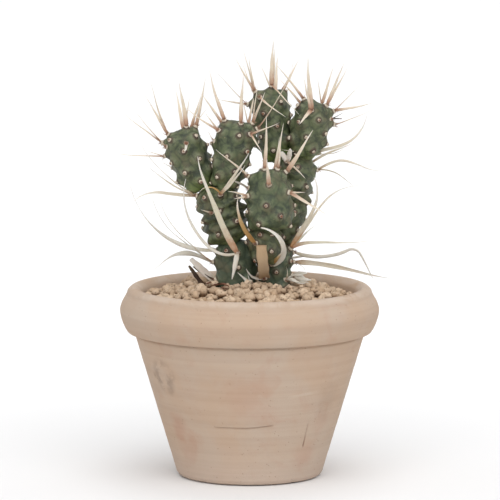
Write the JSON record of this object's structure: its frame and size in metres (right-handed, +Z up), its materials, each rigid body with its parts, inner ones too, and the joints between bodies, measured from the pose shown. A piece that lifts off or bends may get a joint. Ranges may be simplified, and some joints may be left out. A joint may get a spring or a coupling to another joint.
{
  "type": "potted paper spine cactus",
  "caption": "Jointed cactus with flat papery spines, standing in a rolled-rim terracotta pot topped with gravel.",
  "frame": {"origin": "centre of the pot's underside, on the surface the pot stands on", "axes": "+Z up along the pot's axis; -Y is the front that shows the tall middle joint nearest"},
  "size_m": [0.1595, 0.15, 0.2503],
  "materials": {
    "terracotta": "matte",
    "potting_soil": "matte",
    "pumice_gravel": "matte",
    "stem_skin": "matte",
    "papery_spine": "matte"
  },
  "bodies": {
    "root": {"pot": "terracotta", "potting_soil": "potting_soil", "gravel": "pumice_gravel", "base_left_joint": "stem_skin", "base_right_joint": "stem_skin", "lower_left_joint": "stem_skin", "upper_left_joint": "stem_skin", "centre_left_joint": "stem_skin", "bud_joint": "stem_skin", "front_joint": "stem_skin", "right_joint": "stem_skin", "top_joint": "stem_skin", "top_right_joint": "stem_skin", "base_left_spines_1": "papery_spine", "base_left_spines_2": "papery_spine", "base_left_spines_3": "papery_spine", "base_left_spines_4": "papery_spine", "base_right_spines_1": "papery_spine", "base_right_spines_2": "papery_spine", "base_right_spines_3": "papery_spine", "base_right_spines_4": "papery_spine", "base_right_spines_5": "papery_spine", "base_right_spines_6": "papery_spine", "lower_left_spines_1": "papery_spine", "lower_left_spines_2": "papery_spine", "lower_left_spines_3": "papery_spine", "upper_left_spines_1": "papery_spine", "upper_left_spines_2": "papery_spine", "upper_left_spines_3": "papery_spine", "upper_left_spines_4": "papery_spine", "upper_left_spines_5": "papery_spine", "upper_left_spines_6": "papery_spine", "centre_left_spines_1": "papery_spine", "centre_left_spines_2": "papery_spine", "centre_left_spines_3": "papery_spine", "centre_left_spines_4": "papery_spine", "centre_left_spines_5": "papery_spine", "centre_left_spines_6": "papery_spine", "bud_spines_1": "papery_spine", "front_spines_1": "papery_spine", "front_spines_2": "papery_spine", "front_spines_3": "papery_spine", "front_spines_4": "papery_spine", "front_spines_5": "papery_spine", "front_spines_6": "papery_spine", "front_spines_7": "papery_spine", "right_spines_1": "papery_spine", "right_spines_2": "papery_spine", "right_spines_3": "papery_spine", "right_spines_4": "papery_spine", "top_spines_1": "papery_spine", "top_spines_2": "papery_spine", "top_spines_3": "papery_spine", "top_spines_4": "papery_spine", "top_spines_5": "papery_spine", "top_right_spines_1": "papery_spine", "top_right_spines_2": "papery_spine", "top_right_spines_3": "papery_spine", "top_right_spines_4": "papery_spine", "top_right_spines_5": "papery_spine"}
  },
  "joints": []
}
